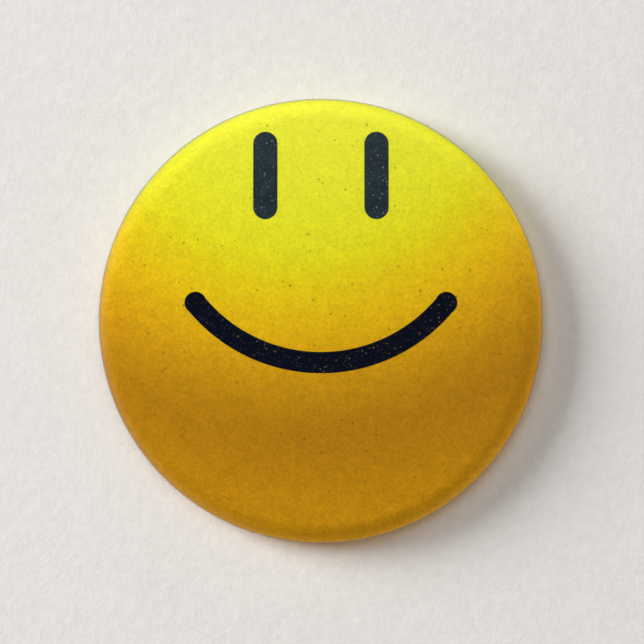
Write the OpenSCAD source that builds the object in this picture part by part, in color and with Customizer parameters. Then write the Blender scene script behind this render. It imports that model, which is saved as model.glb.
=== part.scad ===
// Pin-back button badge.
// A printed paper disc and a clear film are wrapped over a domed tinplate shell,
// and a pressed back plate locks their edges inside the shell's curled rim.
// One spring wire lies in the back: a fixed leg, a coil, and the needle that opens.
// Worn upright: the face looks along -Y, +Z is the top of the face,
// and the origin is the centre of the plane that the back rim lays on the cloth.

/* [Badge] */
// Outside diameter over the film
badge_d = 57.15; // [56:0.05:62]
// Radius of the domed face
dome_r = 170; // [150:5:220]
// Radius where the face turns into the side
edge_r = 3.2; // [3:0.1:3.6]
// Radius of the curl under the rim
curl_r = 1.2; // [1.1:0.05:1.3]
// Height of the straight side between the two curves
wall_h = 0.2; // [0.1:0.05:0.6]

/* [Layers] */
// Thickness of the clear polyester film
film_t = 0.06; // [0.05:0.01:0.08]
// Thickness of the printed ink
ink_t = 0.03; // [0.03:0.01:0.05]
// Thickness of the paper
paper_t = 0.1; // [0.08:0.01:0.15]
// Thickness of the tinplate of the shell and the back plate
tin_t = 0.25; // [0.2:0.01:0.3]

/* [Printed face] */
// Width of an eye
eye_w = 3.1; // [2:0.1:4]
// Height of an eye
eye_h = 11.2; // [6:0.1:13]
// Distance between the middles of the eyes
eye_gap = 14.2; // [10:0.1:20]
// Height of the middle of the eyes above the middle of the badge
eye_up = 18.6; // [14:0.1:19]
// Radius of the smile's arc
smile_r = 20.6; // [16:0.1:22]
// Width of the smile's line
smile_w = 2.7; // [1.5:0.1:4]
// Half of the angle that the smile covers
smile_a = 51; // [30:1:60]
// Height of the smile's lowest point, at the middle of its line
smile_up = -5.3; // [-10:0.1:0]

/* [Back plate] */
// Depth of the recess that holds the pin
recess = 3.6; // [3.55:0.05:3.7]
// Width of the flat on the back rim
land_w = 0.4; // [0.3:0.05:0.6]
// Height of the flange that locks the film inside the rim
flange_h = 1.9; // [1.5:0.1:2.1]
// Radius of the middle of the stiffening ring
ring_r = 22.2; // [22:0.1:22.4]
// Width of the bridges over the fixed leg
bridge_w = 2.6; // [2:0.1:3]
// Width of the catch
catch_w = 4; // [3:0.1:5]

/* [Pin] */
// Diameter of the wire
wire_d = 0.9; // [0.8:0.05:0.9]
// Height of the fixed leg above the middle of the badge
leg_up = 3.3; // [2:0.1:4]
// Distance of the coil from the middle of the badge
coil_x = 18; // [17:0.1:18.5]
// Half turns in the coil
half_turns = 3; // [3, 5]
// Length of the needle, with its point
needle_l = 34.4; // [34:0.1:35]
// Length of the point
point_l = 5.3; // [4.8:0.1:6]
// How far the needle opens
open_max = 30; // [10:1:35]

/* [Hidden] */
$fa = 2;
$fs = 0.1;
dome_fn = 720;

// Free space between neighbouring layers
layer_gap = 0.02;
// Height of the outlines that the ink is cut with, past the top of the dome
ink_reach = 20;
// Width of the smile's ends over the width of its line
smile_end = 1.04;
// Depth of each layer's outer surface under the badge's surface
ink_in = film_t + layer_gap;
paper_in = ink_in + ink_t;
shell_in = paper_in + paper_t + layer_gap;
// How far each layer runs up inside the rim
film_tuck = 1.5;
paper_tuck = 1.1;
shell_tuck = 0.5;

// The rim: centres of the curl, of the rounded edge and of the dome
rim_r = badge_d / 2;
curl_lift = 0.3;
curl_c = rim_r - curl_r;
curl_z = curl_lift + curl_r;
tuck_r = curl_c - curl_r;
edge_c = rim_r - edge_r;
edge_z = curl_z + wall_h;
dome_z = edge_z - sqrt(pow(dome_r - edge_r, 2) - pow(edge_c, 2));
// Angle at which the dome turns into the edge
turn_a = atan2(edge_z - dome_z, edge_c);

// The back plate's rim
bead_r = 0.6;
fold_r = 0.75;
land_out = tuck_r - layer_gap - bead_r;
land_in = land_out - land_w;
side_r = land_in - bead_r;
floor_r = side_r - fold_r;
// The stiffening ring pressed into the floor
ring_w = 1.9;
ring_h = 0.35;
ring_slope = 0.5;

// The wire
wire_r = wire_d / 2;
wire_gap = 0.02;
leg_z = recess - wire_r - wire_gap;
// Each half turn is a flat half ring, leaned over so that the next one starts where it ends
turn_r = 0.9;
lean = atan2(7, 24);
pitch = 4 * turn_r * sin(lean);
coil_r = turn_r * cos(lean);
coil_z = leg_z - coil_r;
// A wide bend towards the cloth leads from the coil to the root of the needle
bend_l = 2;
bend_drop = 0.04;
bend_r = (pow(bend_l, 2) + pow(bend_drop, 2)) / (2 * bend_drop);
needle_up = leg_up + half_turns * pitch / 2;
needle_z = coil_z - coil_r - bend_drop;
// Free space at the root, and how much further than the needle opens it is cut back
root_gap = 0.03;
root_clear = 4;
// The hooked end that holds the leg in the plate
hook_x = 3;
hook_r = 0.6;
hook_tail = 0.7;
// The needle swings away from the plate and up, about this axis through its root
swing = [0, -sin(45), -cos(45)];
tip_r = 0.06;

// The bridges and the catch
bridge_xs = [7.4, 13.2];
bridge_r = wire_r + 0.04;
catch_x = -13.4;
catch_r = 0.82;
catch_lip = 7;
catch_fold = 0.3;
catch_slit = 0.1;
tongue_l = 4.4;

// Stands a part drawn face up onto its rim
module upright() {
    rotate([90, 0, 0]) children();
}

// Part of a flat ring about the origin
module band(r_out, r_in, from, to) {
    corners = [for (i = [0:3]) from + i * (to - from) / 3];
    intersection() {
        difference() {
            circle(r_out);
            circle(r_in);
        }
        polygon(concat([[0, 0]], [for (a = corners) 3 * r_out * [cos(a), sin(a)]]));
    }
}

// Section of the dome between two depths under the surface
module dome_section(outer, inner) {
    translate([0, dome_z])
        band(dome_r - outer, dome_r - inner, turn_a, 90, $fn = dome_fn);
}

// Section of a layer that covers the face and wraps under the rim
module skin_section(outer, inner, tuck) {
    thick = inner - outer;
    dome_section(outer, inner);
    translate([edge_c, edge_z]) band(edge_r - outer, edge_r - inner, 0, turn_a);
    translate([rim_r - inner, curl_z]) square([thick, wall_h]);
    translate([curl_c, curl_z]) band(curl_r - outer, curl_r - inner, -180, 0);
    translate([tuck_r + outer, curl_z]) square([thick, tuck]);
}

module clear_film() {
    color([0.95, 0.95, 0.9, 0.3])
        upright()
        rotate_extrude()
        skin_section(0, film_t, film_tuck);
}

module printed_paper() {
    color([0.86, 0.72, 0.09])
        upright()
        rotate_extrude()
        skin_section(paper_in, paper_in + paper_t, paper_tuck);
}

module front_shell() {
    color([0.72, 0.73, 0.74])
        upright()
        rotate_extrude()
        skin_section(shell_in, shell_in + tin_t, shell_tuck);
}

// The parts of the printed layer that lie inside the children
module ink() {
    intersection() {
        rotate_extrude() dome_section(ink_in, paper_in);
        children();
    }
}

// Upright stroke with round ends
module eye() {
    straight = eye_h - eye_w;
    translate([-eye_w / 2, -straight / 2, 0]) cube([eye_w, straight, ink_reach]);
    for (end = [-1, 1])
        translate([0, end * straight / 2, 0]) cylinder(r = eye_w / 2, h = ink_reach);
}

module ink_eyes() {
    color([0.12, 0.17, 0.23])
        upright()
        ink()
        for (side = [-1, 1])
            translate([side * eye_gap / 2, eye_up, 0]) eye();
}

// An arc of one width, with round ends that are a touch wider than the arc
module ink_mouth() {
    half_w = smile_w / 2;
    color([0.02, 0.03, 0.1])
        upright()
        ink()
        translate([0, smile_up + smile_r, 0]) {
            linear_extrude(height = ink_reach)
                band(smile_r + half_w, smile_r - half_w, -90 - smile_a, -90 + smile_a);
            for (end = [-1, 1])
                rotate([0, 0, end * smile_a - 90])
                translate([smile_r, 0, 0])
                cylinder(r = smile_end * half_w, h = ink_reach);
        }
}

// Section of the back plate: floor, side, bead and flange
module plate_section() {
    ring_in = ring_r - ring_w / 2;
    ring_out = ring_r + ring_w / 2;
    floor_line = [
        [0, 0], [ring_in, 0], [ring_in + ring_slope, -ring_h],
        [ring_out - ring_slope, -ring_h], [ring_out, 0], [floor_r, 0]
    ];
    translate([0, recess])
        polygon(concat(
            floor_line,
            [for (i = [len(floor_line) - 1:-1:0]) floor_line[i] + [0, tin_t]]
        ));
    translate([floor_r, recess - fold_r]) band(fold_r + tin_t, fold_r, 0, 90);
    translate([side_r, bead_r]) square([tin_t, recess - fold_r - bead_r]);
    translate([land_in, bead_r]) band(bead_r, bead_r - tin_t, -180, -90);
    translate([land_in, 0]) square([land_w, tin_t]);
    translate([land_out, bead_r]) band(bead_r, bead_r - tin_t, -90, 0);
    translate([land_out + bead_r - tin_t, bead_r]) square([tin_t, flange_h]);
}

// Strip of tinplate w wide along X, from x on, with its section drawn in Y and Z
module strip(x, w) {
    translate([x, 0, 0])
        rotate([90, 0, 90])
        linear_extrude(height = w)
        children();
}

// Section of a bridge that holds the fixed leg against the plate
module bridge_section() {
    translate([leg_up, leg_z]) {
        band(bridge_r + tin_t, bridge_r, -180, 0);
        for (side = [0, 1])
            mirror([side, 0])
            translate([bridge_r, 0])
            square([tin_t, recess + tin_t - leg_z]);
    }
}

// Section of the catch, from the fold at the plate to its lip under the needle
module catch_section() {
    fold_z = recess - catch_fold;
    web = needle_up - catch_r - tin_t;
    translate([web - catch_fold, fold_z]) band(catch_fold + tin_t, catch_fold, 0, 90);
    translate([web, needle_z]) square([tin_t, fold_z - needle_z]);
    translate([needle_up, needle_z])
        band(catch_r + tin_t, catch_r, -180, catch_lip - 90);
}

// Holes that the bridges, the catch and the leg's hook leave in the plate
module plate_holes() {
    tall = 4 * tin_t;
    hole_r = wire_r + 0.1;
    translate([0, 0, recess + tin_t / 2]) {
        for (x = bridge_xs)
            translate([x, leg_up, 0]) cube([bridge_w, 2 * bridge_r, tall], center = true);
        translate([
            catch_x - catch_w - catch_slit,
            needle_up - catch_r - tin_t - catch_fold,
            -tall / 2
        ])
            cube([catch_w + 2 * catch_slit, tongue_l, tall]);
        for (x = [hook_x, hook_x + hook_r])
            translate([x, leg_up, 0]) cylinder(r = hole_r, h = tall, center = true);
        translate([hook_x + hook_r / 2, leg_up, 0])
            cube([hook_r, 2 * hole_r, tall], center = true);
    }
}

module back_plate() {
    color([0.76, 0.77, 0.78])
        upright() {
            difference() {
                rotate_extrude() plate_section();
                plate_holes();
            }
            for (x = bridge_xs)
                strip(x - bridge_w / 2, bridge_w) bridge_section();
            strip(catch_x - catch_w, catch_w) catch_section();
        }
}

// Wire bent round an arc of radius r in the XZ plane, from angle a, and a long
module wire_bend(r, a, turn) {
    rotate([90, 0, 0])
        rotate([0, 0, a])
        rotate_extrude(angle = turn)
        translate([r, 0])
        circle(wire_r);
}

// The part of the wire that stays still: hooked end, fixed leg, coil and the wide bend
module pin_spring() {
    leg_x = hook_x + hook_r;
    color([0.8, 0.8, 0.79])
        upright() {
            translate([hook_x, leg_up, leg_z + hook_r]) cylinder(r = wire_r, h = hook_tail);
            translate([leg_x, leg_up, leg_z + hook_r]) wire_bend(hook_r, 180, 90);
            translate([leg_x, leg_up, leg_z])
                rotate([0, 90, 0])
                cylinder(r = wire_r, h = coil_x - leg_x);
            for (i = [0:half_turns - 1])
                translate([coil_x, leg_up + (i + 0.5) * pitch / 2, coil_z])
                mirror([i % 2, 0, 0])
                rotate([i % 2 == 0 ? lean : -lean, 0, 0])
                wire_bend(turn_r, -90, 180);
            translate([coil_x, needle_up, coil_z - coil_r - bend_r])
                wire_bend(bend_r, 90, asin(bend_l / bend_r));
        }
}

// The part of the wire that opens. Its root is cut back on the side that turns inwards.
module pin_needle() {
    room = 5 * wire_d;
    color([0.8, 0.8, 0.79])
        upright()
        translate([coil_x - bend_l, needle_up, needle_z])
        difference() {
            rotate([0, -90, 0]) {
                translate([0, 0, root_gap])
                    cylinder(r = wire_r, h = needle_l - point_l - root_gap);
                translate([0, 0, needle_l - point_l])
                    cylinder(r1 = wire_r, r2 = tip_r, h = point_l);
            }
            rotate(a = -open_max - root_clear, v = swing)
                translate([0, -room / 2, -room / 2])
                cube(room);
        }
}

clear_film();
printed_paper();
ink_eyes();
ink_mouth();
front_shell();
back_plate();
pin_spring();
pin_needle();
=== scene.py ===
import math

import bpy
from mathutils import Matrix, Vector


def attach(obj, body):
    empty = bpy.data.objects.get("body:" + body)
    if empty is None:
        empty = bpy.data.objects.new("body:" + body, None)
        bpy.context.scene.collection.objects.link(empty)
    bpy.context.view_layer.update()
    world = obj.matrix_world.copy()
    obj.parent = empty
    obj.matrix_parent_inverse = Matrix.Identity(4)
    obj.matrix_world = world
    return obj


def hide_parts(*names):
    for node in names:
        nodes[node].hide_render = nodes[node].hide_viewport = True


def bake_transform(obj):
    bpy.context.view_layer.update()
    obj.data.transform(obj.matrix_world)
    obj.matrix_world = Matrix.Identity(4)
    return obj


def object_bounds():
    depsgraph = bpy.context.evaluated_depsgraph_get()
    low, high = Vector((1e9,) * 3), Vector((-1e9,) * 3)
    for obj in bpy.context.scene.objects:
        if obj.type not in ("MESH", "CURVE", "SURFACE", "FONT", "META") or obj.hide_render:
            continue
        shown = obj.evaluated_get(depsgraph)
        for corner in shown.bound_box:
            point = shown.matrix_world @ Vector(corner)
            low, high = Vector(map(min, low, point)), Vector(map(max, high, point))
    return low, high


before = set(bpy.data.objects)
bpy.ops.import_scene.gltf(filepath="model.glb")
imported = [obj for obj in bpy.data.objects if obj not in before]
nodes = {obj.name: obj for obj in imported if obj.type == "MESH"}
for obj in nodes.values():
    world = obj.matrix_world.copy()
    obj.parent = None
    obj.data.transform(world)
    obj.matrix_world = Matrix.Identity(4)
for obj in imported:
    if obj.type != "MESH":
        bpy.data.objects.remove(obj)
cad_low, cad_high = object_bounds()

scene = bpy.context.scene
MM = 0.001
RIM_R = (cad_high.x - cad_low.x) / 2


# ---------------------------------------------------------------- camera

# How wide a strip the camera sees at its working distance, and how far off the badge's middle it stands
FRAME_WIDTH = 0.0828
CAMERA_DISTANCE = 0.6
CAMERA_OFF = (0.14 * MM, -1.6 * MM, -0.13 * MM)
SENSOR = 36.0


def make_camera():
    data = bpy.data.cameras.new("camera")
    data.sensor_width = SENSOR
    data.lens = SENSOR * CAMERA_DISTANCE / FRAME_WIDTH
    camera = bpy.data.objects.new("camera", data)
    camera.location = (CAMERA_OFF[0], -CAMERA_DISTANCE + CAMERA_OFF[1], CAMERA_OFF[2])
    camera.rotation_euler = (math.radians(90), 0, 0)
    scene.collection.objects.link(camera)
    scene.camera = camera


# ---------------------------------------------------------------- node helpers


class Tree:
    """A short way to write shader nodes: each call adds one node and returns an output."""

    def __init__(self, owner):
        owner.use_nodes = True
        self.tree = owner.node_tree
        self.tree.nodes.clear()

    def add(self, kind, inputs=None, out=0, **settings):
        node = self.tree.nodes.new(kind)
        for name, value in settings.items():
            setattr(node, name, value)
        for name, value in (inputs or {}).items():
            self.put(node.inputs[name], value)
        return node.outputs[out]

    def put(self, socket, value):
        if isinstance(value, bpy.types.NodeSocket):
            self.tree.links.new(value, socket)
        else:
            socket.default_value = value

    def math(self, operation, a, b=0.0, c=0.0):
        return self.add("ShaderNodeMath", {0: a, 1: b, 2: c}, operation=operation)

    def vector(self, operation, a, b=(0, 0, 0), out=0):
        return self.add(
            "ShaderNodeVectorMath", {0: a, 1: b}, out=out, operation=operation
        )

    def place(self):
        return self.add("ShaderNodeTexCoord", out="Object")

    def stretched(self, scale):
        return self.vector("MULTIPLY", self.place(), scale)

    def split(self, vector, axis):
        return self.add("ShaderNodeSeparateXYZ", {0: vector}, out=axis)

    def noise(self, vector, scale, detail=2.0, roughness=0.5):
        return self.add(
            "ShaderNodeTexNoise",
            {"Vector": vector, "Scale": scale, "Detail": detail, "Roughness": roughness},
        )

    def remap(self, value, low, high, to_low=0.0, to_high=1.0, smooth=False):
        return self.add(
            "ShaderNodeMapRange",
            {0: value, 1: low, 2: high, 3: to_low, 4: to_high},
            interpolation_type="SMOOTHSTEP" if smooth else "LINEAR",
        )

    def ramp(self, value, stops):
        """A colour that runs smoothly through stops of (position, colour)."""
        node = self.tree.nodes.new("ShaderNodeValToRGB")
        self.put(node.inputs[0], value)
        node.color_ramp.interpolation = "B_SPLINE"
        marks = node.color_ramp.elements
        while len(marks) < len(stops):
            marks.new(1.0)
        for mark, (at, colour) in zip(marks, stops):
            mark.position = at
            mark.color = (*colour, 1)
        return node.outputs[0]

    def mix(self, share, a, b):
        """Colour a where share is 0, and colour b where it is 1."""
        node = self.tree.nodes.new("ShaderNodeMix")
        node.data_type = "RGBA"
        self.put(node.inputs[0], share)
        self.put(node.inputs[6], a if not isinstance(a, tuple) else (*a, 1))
        self.put(node.inputs[7], b if not isinstance(b, tuple) else (*b, 1))
        return node.outputs[2]

    def brighten(self, colour, factor):
        """The colour times a number."""
        return self.add("ShaderNodeVectorMath", {0: colour, 3: factor}, operation="SCALE")

    def bump(self, height, distance, strength, under=None):
        node = self.tree.nodes.new("ShaderNodeBump")
        node.inputs["Strength"].default_value = strength
        node.inputs["Distance"].default_value = distance
        self.put(node.inputs["Height"], height)
        if under is not None:
            self.put(node.inputs["Normal"], under)
        return node.outputs[0]

    def face_plane(self, seed=0.0):
        """The place as (x, z, 0), so that specks on the face are cut through their middles."""
        place = self.place()
        across = self.math("ADD", self.split(place, 0), seed)
        return self.add("ShaderNodeCombineXYZ", {0: across, 1: self.split(place, 2)})

    def specks(self, vector, scale, share, size, flat=False):
        """1 in small round specks, one in a share of the cells of a grid, and 0 between them."""
        node = self.tree.nodes.new("ShaderNodeTexVoronoi")
        node.voronoi_dimensions = "2D" if flat else "3D"
        self.put(node.inputs["Vector"], vector)
        node.inputs["Scale"].default_value = scale
        chance = self.split(node.outputs["Color"], 2)
        extent = self.remap(chance, 1 - share, 1.0, 0.35 * size, size)
        chosen = self.math("GREATER_THAN", chance, 1 - share)
        near = self.math("DIVIDE", node.outputs["Distance"], extent)
        dot = self.remap(near, 1.0, 0.45, 0.0, 1.0, smooth=True)
        return self.math("MULTIPLY", dot, chosen)

    def hairlines(self, angle, share):
        """1 on a few long thin scratches in the face's plane, at that angle from the horizontal."""
        turned = self.add(
            "ShaderNodeVectorRotate",
            {"Vector": self.face_plane(0.01 * angle), "Angle": math.radians(angle)},
            rotation_type="Z_AXIS",
        )
        drawn_out = self.vector("MULTIPLY", turned, (70, 3600, 1))
        return self.specks(drawn_out, 1.0, share, 0.24, flat=True)

    def finish(self, shader):
        self.add_output("ShaderNodeOutputMaterial", shader)

    def add_output(self, kind, shader):
        node = self.tree.nodes.new(kind)
        self.put(node.inputs["Surface"], shader)


def material(name):
    made = bpy.data.materials.new(name)
    return made, Tree(made)


def dress(thing, made):
    """Puts the material on every slot of the object itself, so the CAD mesh isn't touched."""
    if not thing.material_slots:
        thing.data.materials.append(made)
    for entry in thing.material_slots:
        entry.link = "OBJECT"
        entry.material = made


# ---------------------------------------------------------------- materials


def printed_yellow():
    """Yellow paper: lemon at the top, then gold and amber, darkest in a band across the lower part and
    lighter again at the bottom edge, in rings about a point above the badge.
    """
    made, t = material("printed_yellow")
    place = t.place()
    flat = t.vector("MULTIPLY", place, (1, 0, 1))
    away = t.vector("DISTANCE", flat, (-0.1 * RIM_R, 0, 1.3 * RIM_R), out="Value")
    reach = t.math("DIVIDE", away, 2.4 * RIM_R)
    drift = t.noise(place, 90, detail=2)
    reach = t.math("ADD", reach, t.remap(drift, 0.3, 0.7, -0.006, 0.006))
    # The face is set darker towards the lower part and lighter again at the bottom edge, as colour in this
    # ramp.
    colour = t.ramp(
        reach,
        [
            (0.18, (0.86, 0.855, 0.043)),
            (0.40, (0.83, 0.81, 0.011)),
            (0.47, (0.84, 0.66, 0.0065)),
            (0.54, (0.87, 0.555, 0.0045)),
            (0.61, (0.78, 0.405, 0.0045)),
            (0.68, (0.61, 0.297, 0.0045)),
            (0.77, (0.485, 0.207, 0.0045)),
            (0.92, (0.78, 0.37, 0.005)),
        ],
    )
    fine = t.remap(t.noise(place, 2400, detail=2, roughness=0.6), 0.35, 0.65, -1.0, 1.0)
    soft = t.remap(t.noise(place, 700, detail=2, roughness=0.6), 0.35, 0.65, -1.0, 1.0)
    grain = t.math("ADD", t.math("MULTIPLY", fine, 0.65), t.math("MULTIPLY", soft, 0.35))
    depth = t.remap(reach, 0.25, 0.60, 0.075, 0.145)
    colour = t.brighten(colour, t.math("ADD", 1.0, t.math("MULTIPLY", grain, depth)))
    brown = t.specks(t.face_plane(), 700, 0.13, 0.17, flat=True)
    dust = t.specks(t.face_plane(0.31), 1500, 0.22, 0.24, flat=True)
    stain = t.mix(0.35, t.brighten(colour, 0.5), (0.27, 0.13, 0.01))
    face = t.remap(t.vector("LENGTH", flat, out="Value"), 0.92 * RIM_R, 0.95 * RIM_R, 1.0, 0.0)
    colour = t.mix(t.math("MULTIPLY", brown, t.math("MULTIPLY", face, 0.75)), colour, stain)
    colour = t.mix(t.math("MULTIPLY", dust, t.math("MULTIPLY", face, 0.35)), colour, stain)
    # Painted shade in the valleys of the rear pleats; the paler crests are partly painted highlight and
    # partly the whitening of folded print.
    fold = t.add("ShaderNodeAttribute", attribute_name="fold", out="Fac")
    colour = t.brighten(colour, t.math("MULTIPLY_ADD", fold, 0.75, 1.0))
    height = t.math("ADD", t.noise(place, 2600, detail=3), t.noise(place, 700, detail=2))
    t.finish(
        t.add(
            "ShaderNodeBsdfPrincipled",
            {
                "Base Color": colour,
                "Roughness": t.remap(fine, -1.0, 1.0, 0.62, 0.74),
                "Specular IOR Level": 0.15,
                "Normal": t.bump(height, 0.00003, 0.5),
            },
        )
    )
    return made


def printed_ink(name, dark, lighter, speck, share):
    """Near-black ink with a slight cloudiness and small pale specks where the paper shows through."""
    made, t = material(name)
    place = t.place()
    cloud = t.remap(t.noise(place, 900, detail=4, roughness=0.6), 0.35, 0.65)
    colour = t.mix(cloud, dark, lighter)
    dots = t.specks(t.face_plane(0.11), 1650, share, 0.26, flat=True)
    dust = t.specks(t.face_plane(0.41), 2400, 0.40, 0.36, flat=True)
    colour = t.mix(dots, colour, speck)
    colour = t.mix(t.math("MULTIPLY", dust, 0.28), colour, speck)
    t.finish(
        t.add(
            "ShaderNodeBsdfPrincipled",
            {
                "Base Color": colour,
                "Roughness": t.remap(cloud, 0, 1, 0.5, 0.62),
                "Specular IOR Level": 0.15,
                "Normal": t.bump(t.noise(place, 2600, detail=3), 0.00003, 0.4),
            },
        )
    )
    return made


def clear_polyester():
    """Clear film, faintly wavy and smudged, that reflects more at a low angle."""
    made, t = material("clear_polyester")
    place = t.place()
    waves = t.noise(place, 130, detail=2)
    peel = t.noise(place, 1500, detail=2, roughness=0.6)
    normal = t.bump(waves, 0.00006, 0.5)
    normal = t.bump(peel, 0.000008, 0.6, under=normal)
    smudge = t.remap(t.noise(place, 210, detail=5, roughness=0.7), 0.35, 0.7, 0.10, 0.17)
    hair = t.noise(t.stretched((5200, 5200, 380)), 1.0, detail=1)
    rough = t.math("ADD", smudge, t.remap(hair, 0.68, 0.75, 0.0, 0.06))
    gloss = t.add(
        "ShaderNodeBsdfGlossy",
        {"Color": (1, 1, 1, 1), "Roughness": rough, "Normal": normal},
    )
    clear = t.add("ShaderNodeBsdfTransparent", {"Color": (0.985, 0.985, 0.98, 1)})
    facing = t.add("ShaderNodeFresnel", {"IOR": 1.5, "Normal": normal})
    inner = t.add("ShaderNodeNewGeometry", out="Backfacing")
    share = t.math("MULTIPLY", facing, t.math("SUBTRACT", 1.0, inner))
    t.finish(t.add("ShaderNodeMixShader", {0: share, 1: clear, 2: gloss}))
    return made


# Radius of the back rim, which rubs on the cloth
WORN_R = 25.3 * MM


def tinplate(name, base, grain_axis):
    """Tinned sheet steel: rolling lines along one axis, hairlines, dull patches and brighter worn bends."""
    made, t = material(name)
    place = t.place()
    along = tuple(130 if axis == grain_axis else 2600 for axis in range(3))
    lines = t.noise(t.stretched(along), 1.0, detail=1)
    cloud = t.noise(place, 110, detail=3, roughness=0.55)
    mottle = t.noise(place, 1300, detail=3, roughness=0.6)
    rubbed = t.math("MAXIMUM", t.hairlines(24, 0.05), t.hairlines(-38, 0.04))
    rubbed = t.math("MAXIMUM", rubbed, t.hairlines(81, 0.03))
    radial = t.vector("LENGTH", t.vector("MULTIPLY", place, (1, 0, 1)), out="Value")
    worn = t.remap(
        t.math("ABSOLUTE", t.math("SUBTRACT", radial, WORN_R)),
        0.9 * MM,
        0.2 * MM,
        smooth=True,
    )
    worn = t.math("MULTIPLY", worn, t.remap(mottle, 0.4, 0.6, 0.5, 1.0))
    duller = tuple(0.88 * c for c in base)
    colour = t.mix(t.remap(cloud, 0.35, 0.68), base, duller)
    colour = t.brighten(colour, t.remap(mottle, 0.3, 0.7, 0.95, 1.05))
    colour = t.mix(t.math("MULTIPLY", worn, 0.4), colour, (0.86, 0.86, 0.85))
    spots = t.specks(place, 520, 0.10, 0.14)
    colour = t.mix(t.math("MULTIPLY", spots, 0.5), colour, (0.26, 0.23, 0.20))
    colour = t.mix(t.math("MULTIPLY", rubbed, 0.35), colour, (0.90, 0.90, 0.89))
    rough = t.remap(cloud, 0.3, 0.7, 0.33, 0.40)
    rough = t.math("ADD", rough, t.remap(lines, 0.3, 0.7, -0.02, 0.02))
    rough = t.math("SUBTRACT", rough, t.math("MULTIPLY", worn, 0.02))
    rough = t.math("ADD", rough, t.math("MULTIPLY", rubbed, 0.10))
    height = t.math("SUBTRACT", lines, rubbed)
    t.finish(
        t.add(
            "ShaderNodeBsdfPrincipled",
            {
                "Base Color": colour,
                "Metallic": 1.0,
                "Roughness": rough,
                "Normal": t.bump(height, 0.000002, 0.5),
            },
        )
    )
    return made


def nickel_wire():
    """Nickel-plated spring wire with the fine lines that the drawing die leaves along it."""
    made, t = material("nickel_wire")
    drawn = t.add("ShaderNodeAttribute", attribute_name="drawn", out="Vector")
    place = t.place()
    lines = t.noise(t.vector("MULTIPLY", drawn, (9, 9, 150)), 1.0, detail=3, roughness=0.6)
    patch = t.noise(place, 500, detail=4)
    base = t.mix(t.remap(patch, 0.35, 0.65), (0.78, 0.755, 0.71), (0.62, 0.60, 0.57))
    pits = t.specks(place, 2300, 0.10, 0.16)
    base = t.mix(t.math("MULTIPLY", pits, 0.5), base, (0.20, 0.18, 0.16))
    rough = t.math(
        "ADD",
        t.remap(patch, 0.35, 0.65, 0.15, 0.22),
        t.remap(lines, 0.35, 0.65, -0.02, 0.04),
    )
    t.finish(
        t.add(
            "ShaderNodeBsdfPrincipled",
            {
                "Base Color": base,
                "Metallic": 1.0,
                "Roughness": rough,
                "Normal": t.bump(lines, 0.000006, 0.5),
            },
        )
    )
    return made


def studio_paper():
    """Pale, faintly toothed paper that is seen from its front only."""
    made, t = material("studio_paper")
    place = t.place()
    tooth = t.noise(place, 900, detail=4, roughness=0.7)
    cloud = t.noise(place, 60, detail=3)
    shade = t.math(
        "MULTIPLY",
        t.remap(tooth, 0.3, 0.7, 0.956, 1.037),
        t.remap(cloud, 0.3, 0.7, 0.993, 1.006),
    )
    sheet = t.add(
        "ShaderNodeBsdfPrincipled",
        {
            "Base Color": t.brighten((0.80, 0.779, 0.746), shade),
            "Roughness": 0.85,
            "Specular IOR Level": 0.0,
            "Normal": t.bump(tooth, 0.00012, 0.55),
        },
    )
    behind = t.add("ShaderNodeNewGeometry", out="Backfacing")
    clear = t.add("ShaderNodeBsdfTransparent")
    t.finish(t.add("ShaderNodeMixShader", {0: behind, 1: sheet, 2: clear}))
    return made


# ---------------------------------------------------------------- meshes


def mesh_object(name, points, faces):
    mesh = bpy.data.meshes.new(name)
    mesh.from_pydata([tuple(p) for p in points], [], faces)
    mesh.validate()
    mesh.shade_smooth()
    thing = bpy.data.objects.new(name, mesh)
    scene.collection.objects.link(thing)
    return thing


# The section of the face and rim, in millimetres: radius, and height above the plane of the back rim
DOME_R, EDGE_R, CURL_R, WALL_H, CURL_LIFT = 170.0, 3.2, 1.2, 0.2, 0.3
BADGE_R = RIM_R / MM
CURL_C, CURL_Z = BADGE_R - CURL_R, CURL_LIFT + CURL_R
EDGE_C, EDGE_Z = BADGE_R - EDGE_R, CURL_LIFT + CURL_R + WALL_H
DOME_Z = EDGE_Z - math.sqrt((DOME_R - EDGE_R) ** 2 - EDGE_C**2)
TURN_A = math.atan2(EDGE_Z - DOME_Z, EDGE_C)
PLEATS, PLEAT_H = 118, 0.24
# How many steps each stretch of the section is drawn in
DOME_STEPS, EDGE_STEPS, CURL_STEPS = 14, 14, 24


def skin_line(depth, tuck):
    """One side of a wrapped layer, from the middle of the face to the tucked edge.

    Each point is (radius, height, outward radius, outward height, share of the pleats' height).
    """
    line = []
    for i in range(DOME_STEPS):
        a = math.pi / 2 + (TURN_A - math.pi / 2) * i / DOME_STEPS
        c, s = math.cos(a), math.sin(a)
        line.append(((DOME_R - depth) * c, DOME_Z + (DOME_R - depth) * s, c, s, 0.0))
    for i in range(EDGE_STEPS + 1):
        a = TURN_A * (1 - i / EDGE_STEPS)
        c, s = math.cos(a), math.sin(a)
        line.append((EDGE_C + (EDGE_R - depth) * c, EDGE_Z + (EDGE_R - depth) * s, c, s, 0.0))
    for i in range(CURL_STEPS + 1):
        a = -math.pi * i / CURL_STEPS
        c, s = math.cos(a), math.sin(a)
        along = min(1.0, max(0.0, (i / CURL_STEPS - 0.14) / 0.80))
        share = math.sin(math.pi * along) ** 1.4
        line.append((CURL_C + (CURL_R - depth) * c, CURL_Z + (CURL_R - depth) * s, c, s, share))
    line.append((line[-1][0], CURL_Z + tuck / 2, -1.0, 0.0, 0.0))
    line.append((line[-1][0], CURL_Z + tuck, -1.0, 0.0, 0.0))
    return line


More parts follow.
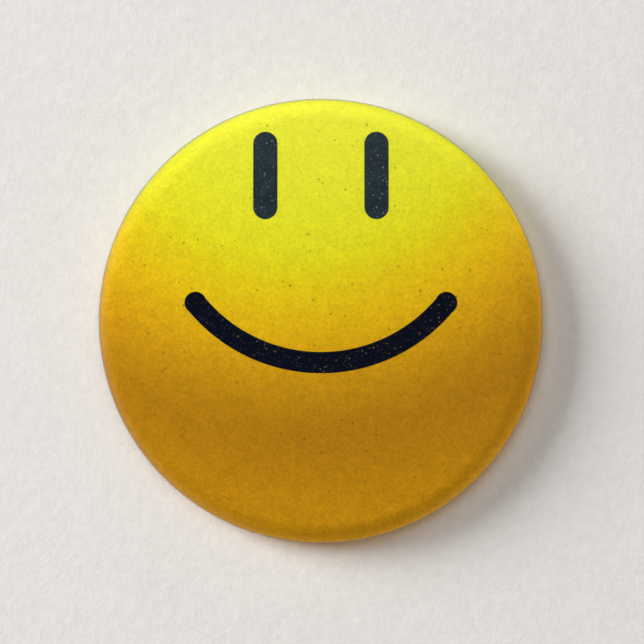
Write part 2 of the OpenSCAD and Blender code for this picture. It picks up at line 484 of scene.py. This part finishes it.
def pleat(angle):
    """Height of the small gathered ridges round the rear of the rim, from 0 to 1."""
    turn = PLEATS * angle + 1.7 * math.sin(5 * angle + 0.6) + 1.1 * math.sin(11 * angle + 2.1)
    ridge = max(0.0, math.cos(turn)) ** 2.5
    size = 0.55 + 0.27 * math.sin(23 * angle + 1.0) + 0.18 * math.sin(41 * angle + 2.4)
    return ridge * size


def wrapped_skin(name, outer, inner, tuck):
    """A thin sheet over the face, round the rim and up inside it, gathered in fine pleats at the rear."""
    around = 7 * PLEATS
    top, under = skin_line(outer, tuck), skin_line(inner, tuck)
    line = top[1:] + under[:0:-1]
    points, faces, folds = [], [], []
    for k in range(around):
        angle = 2 * math.pi * k / around
        ridge = pleat(angle)
        c, s = math.cos(angle), math.sin(angle)
        for r, h, nr, nh, share in line:
            lift = PLEAT_H * ridge * share
            r, h = r + nr * lift, h + nh * lift
            points.append((r * c * MM, -h * MM, r * s * MM))
            # Painted shade and highlight for the pleats: below zero in the valleys, above zero on the crests.
            folds.append(share * (ridge - 0.3))
    count = len(line)
    for pole in (top[0], under[0]):
        points.append((0, -pole[1] * MM, 0))
        folds.append(0.0)
    above, below = len(points) - 2, len(points) - 1
    for k in range(around):
        here, there = k * count, (k + 1) % around * count
        faces.append((above, there, here))
        for i in range(count - 1):
            faces.append((here + i, there + i, there + i + 1, here + i + 1))
        faces.append((below, here + count - 1, there + count - 1))
    skin = mesh_object(name, points, faces)
    skin.data.attributes.new("fold", "FLOAT", "POINT").data.foreach_set("value", folds)
    return skin


# The wire's line, in millimetres: x to the right of the face's back, up, and depth from the back rim
WIRE_R = 0.45
LEG_UP, LEG_Z = 3.3, 3.13
NEEDLE_UP, NEEDLE_Z = 4.812, 1.362
HOOK_X, HOOK_R, HOOK_TAIL = 3.0, 0.6, 0.7
COIL_X, HALF_TURNS, TURN_R = 18.0, 3, 0.9
LEAN = math.atan2(7, 24)
PITCH, COIL_R = 4 * TURN_R * math.sin(LEAN), TURN_R * math.cos(LEAN)
ROOT_X, BEND_R = 16.0, 50.02
STRAIGHT_L, POINT_L, TIP_R = 29.1, 5.3, 0.06


def fixed_wire_line():
    """The part that stays still, from the hooked end through the leg and the coil: (x, up, z, radius)."""
    line = [
        (HOOK_X, LEG_UP, LEG_Z + HOOK_R + HOOK_TAIL, 0.72 * WIRE_R),
        (HOOK_X, LEG_UP, LEG_Z + HOOK_R + HOOK_TAIL - 0.03, 0.92 * WIRE_R),
        (HOOK_X, LEG_UP, LEG_Z + HOOK_R + HOOK_TAIL - 0.10, WIRE_R),
        (HOOK_X, LEG_UP, LEG_Z + HOOK_R + 0.3, WIRE_R),
    ]
    for i in range(9):
        a = math.radians(180 + 90 * i / 8)
        x = HOOK_X + HOOK_R + HOOK_R * math.cos(a)
        line.append((x, LEG_UP, LEG_Z + HOOK_R + HOOK_R * math.sin(a), WIRE_R))
    for i in range(1, 15):
        x = HOOK_X + HOOK_R + (COIL_X - HOOK_X - HOOK_R) * i / 15
        line.append((x, LEG_UP, LEG_Z, WIRE_R))
    steps = 22
    for turn in range(HALF_TURNS):
        side = 1 if turn % 2 == 0 else -1
        middle = LEG_UP + (turn + 0.5) * PITCH / 2
        for i in range(steps):
            a = math.pi * (0.5 - i / steps) * side
            x, z = TURN_R * math.cos(a) * side, TURN_R * math.sin(a)
            up = middle - side * z * math.sin(LEAN)
            line.append((COIL_X + x, up, LEG_Z - COIL_R + z * math.cos(LEAN), WIRE_R))
    for x in (COIL_X + 0.01, COIL_X):
        line.append((x, NEEDLE_UP, LEG_Z - 2 * COIL_R, WIRE_R))
    return line


def needle_line():
    """The wide bend from the coil to the needle's root, then the needle to its tip: (x, up, z, radius)."""
    start_z = LEG_Z - 2 * COIL_R
    line = [(COIL_X, NEEDLE_UP, start_z, WIRE_R), (COIL_X - 0.01, NEEDLE_UP, start_z, WIRE_R)]
    reach = math.asin((COIL_X - ROOT_X) / BEND_R)
    for i in range(1, 8):
        a = reach * i / 8
        low = start_z - BEND_R * (1 - math.cos(a))
        line.append((COIL_X - BEND_R * math.sin(a), NEEDLE_UP, low, WIRE_R))
    for i in range(12):
        line.append((ROOT_X - 0.25 * i, NEEDLE_UP, NEEDLE_Z, WIRE_R))
    for i in range(1, 27):
        x = ROOT_X - 3.0 - (STRAIGHT_L - 3.0) * i / 26
        line.append((x, NEEDLE_UP, NEEDLE_Z, WIRE_R))
    for i in range(1, 15):
        s = i / 14
        x = ROOT_X - STRAIGHT_L - POINT_L * s
        line.append((x, NEEDLE_UP, NEEDLE_Z, WIRE_R + (TIP_R - WIRE_R) * s))
    return line


def swept_wire(name, line, bulge):
    """A closed tube along a line of (x, up, z, radius); bulge is how far each end stands out."""
    around = 28
    centres = [Vector((x, -z, up)) * MM for x, up, z, _ in line]
    points, faces, drawn = [], [], []
    across = Vector((0, 0, 1))
    length = 0.0
    for i, centre in enumerate(centres):
        ahead = centres[min(i + 1, len(centres) - 1)] - centres[max(i - 1, 0)]
        ahead.normalize()
        across = (across - across.dot(ahead) * ahead).normalized()
        other = ahead.cross(across)
        if i:
            length += (centre - centres[i - 1]).length
        radius = line[i][3] * MM
        for k in range(around):
            a = 2 * math.pi * k / around
            points.append(centre + radius * (math.cos(a) * across + math.sin(a) * other))
            drawn.append((math.cos(a), math.sin(a), length))
    for i in range(len(centres) - 1):
        for k in range(around):
            n = (k + 1) % around
            row, above = i * around, (i + 1) * around
            faces.append((row + k, row + n, above + n, above + k))
    first = (centres[0] - centres[1]).normalized()
    last = (centres[-1] - centres[-2]).normalized()
    points.append(centres[0] + bulge[0] * MM * first)
    points.append(centres[-1] + bulge[1] * MM * last)
    drawn += [(0, 0, 0), (0, 0, length)]
    row = (len(centres) - 1) * around
    for k in range(around):
        n = (k + 1) % around
        faces.append((n, k, len(points) - 2))
        faces.append((row + k, row + n, len(points) - 1))
    wire = mesh_object(name, points, faces)
    marks = wire.data.attributes.new("drawn", "FLOAT_VECTOR", "POINT")
    marks.data.foreach_set("vector", [c for d in drawn for c in d])
    return wire


# ---------------------------------------------------------------- stage and light


def make_stage():
    """A wall just behind the badge that curves into a floor far below. Both are seen from the front only."""
    gap = 0.6 * MM
    floor_z = -0.15
    bend = 0.095
    wide = 1.6
    top_z, front_y = 1.2, -2.2
    profile = [(gap, top_z), (gap, floor_z + bend)]
    for i in range(1, 13):
        a = math.radians(90 * i / 12)
        profile.append((gap - bend * (1 - math.cos(a)), floor_z + bend * (1 - math.sin(a))))
    profile.append((front_y, floor_z))
    points = [(x, y, z) for y, z in profile for x in (-wide, wide)]
    faces = [(2 * i, 2 * i + 2, 2 * i + 3, 2 * i + 1) for i in range(len(profile) - 1)]
    stage = mesh_object("studio_paper", points, faces)
    stage.data.materials.append(studio_paper())
    stage.visible_shadow = False
    stage.visible_diffuse = False
    stage.visible_glossy = False
    return stage


def area_light(name, place, size, share, only, glossy=False):
    """A square soft light that gives that share of full light to the surfaces of one group that face it."""
    data = bpy.data.lights.new(name, "AREA")
    data.shape = "SQUARE"
    data.size = size
    data.energy = share * math.pi**2 * Vector(place).length_squared
    lamp = bpy.data.objects.new(name, data)
    lamp.location = place
    lamp.rotation_mode = "QUATERNION"
    lamp.rotation_quaternion = (-Vector(place)).to_track_quat("-Z", "Y")
    lamp.visible_glossy = glossy
    lamp.light_linking.receiver_collection = only
    scene.collection.objects.link(lamp)


def group(name, *things):
    made = bpy.data.collections.new(name)
    for thing in things:
        made.objects.link(thing)
    return made


def towards(off_axis, clock, distance):
    """A point off_axis degrees away from the face's own axis, at a clock angle counted from +X through +Z."""
    a, c = math.radians(off_axis), math.radians(clock)
    return (
        distance * math.sin(a) * math.cos(c),
        -distance * math.cos(a),
        distance * math.sin(a) * math.sin(c),
    )


def make_world():
    world = bpy.data.worlds.new("studio")
    scene.world = world
    t = Tree(world)
    toward = t.add("ShaderNodeTexCoord", out="Generated")
    x, y, z = (t.split(toward, i) for i in range(3))
    back = t.math("ADD", 0.16, t.math("MULTIPLY", z, 0.10))
    back = t.math("ADD", back, t.math("MULTIPLY", x, -0.22))
    back = t.math("MAXIMUM", back, 0.05)
    front = t.remap(z, 0.05, 0.6, 0.035, 0.30, smooth=True)
    share = t.remap(y, -0.30, 0.20, smooth=True)
    light = t.math(
        "ADD",
        t.math("MULTIPLY", back, share),
        t.math("MULTIPLY", front, t.math("SUBTRACT", 1.0, share)),
    )
    lit = t.add(
        "ShaderNodeBackground", {"Color": (0.97, 0.985, 1.0, 1), "Strength": light}
    )
    seen = t.add(
        "ShaderNodeBackground", {"Color": (0.75, 0.75, 0.745, 1), "Strength": 1.0}
    )
    camera = t.add("ShaderNodeLightPath", out="Is Camera Ray")
    t.add_output(
        "ShaderNodeOutputWorld", t.add("ShaderNodeMixShader", {0: camera, 1: lit, 2: seen})
    )


def make_lights(badge, metal, wall):
    area_light("key", towards(50, 142, 1.2), 0.80, 0.88, only=badge)
    area_light("top", towards(36, 92, 1.2), 0.80, 0.30, only=badge)
    area_light("upper_right", towards(55, 35, 1.2), 0.90, 0.20, only=badge)
    area_light("rear_right", towards(108, -12, 1.0), 0.70, 0.62, only=badge)
    area_light("rear_low", towards(106, -65, 1.0), 0.60, 0.46, only=badge)
    area_light("rear_left", towards(108, -135, 1.0), 0.60, 0.62, only=badge)
    area_light("rear_upper", towards(106, 40, 1.0), 0.60, 0.30, only=badge)
    area_light("metal_soft", (0.75, 0.85, 0.30), 0.9, 0.9, glossy=True, only=metal)
    area_light("metal_fill", (-0.15, 1.10, 0.05), 1.3, 0.30, glossy=True, only=metal)
    area_light("metal_edge", (-0.70, 0.45, 0.75), 0.35, 0.5, glossy=True, only=metal)
    area_light("wall_side", towards(65, 158, 1.8), 0.90, 1.33, only=wall)
    area_light("wall_front", towards(15, 100, 1.8), 1.20, 0.36, only=wall)


# ---------------------------------------------------------------- build

scene.view_settings.view_transform = "Standard"
scene.view_settings.look = "None"

make_camera()
make_world()
stage = make_stage()

film = wrapped_skin("film_wrap", 0.0, 0.06, 1.5)
dress(film, clear_polyester())
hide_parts("clear_film")
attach(film, "badge")

paper = wrapped_skin("paper_wrap", 0.11, 0.21, 1.1)
dress(paper, printed_yellow())
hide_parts("printed_paper")
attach(paper, "badge")

slate = printed_ink(
    "eye_ink",
    dark=(0.010, 0.021, 0.029),
    lighter=(0.020, 0.036, 0.048),
    speck=(0.16, 0.20, 0.18),
    share=0.24,
)
navy = printed_ink(
    "mouth_ink",
    dark=(0.0005, 0.0018, 0.0085),
    lighter=(0.0012, 0.0035, 0.014),
    speck=(0.16, 0.12, 0.06),
    share=0.22,
)
dress(nodes["ink_eyes"], slate)
dress(nodes["ink_mouth"], navy)
dress(nodes["front_shell"], tinplate("shell_tinplate", (0.62, 0.62, 0.61), 2))
dress(nodes["back_plate"], tinplate("plate_tinplate", (0.66, 0.665, 0.67), 0))

nickel = nickel_wire()
spring = swept_wire("spring_wire", fixed_wire_line(), (0.02, 0.0))
dress(spring, nickel)
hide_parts("pin_spring")
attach(spring, "badge")

needle = swept_wire("needle_wire", needle_line(), (0.0, 0.03))
dress(needle, nickel)
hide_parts("pin_needle")
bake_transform(needle)

steel = [nodes["front_shell"], nodes["back_plate"], spring, needle]
make_lights(
    badge=group("badge_lit", film, paper, nodes["ink_eyes"], nodes["ink_mouth"], *steel),
    metal=group("metal_lit", *steel),
    wall=group("wall_lit", stage),
)
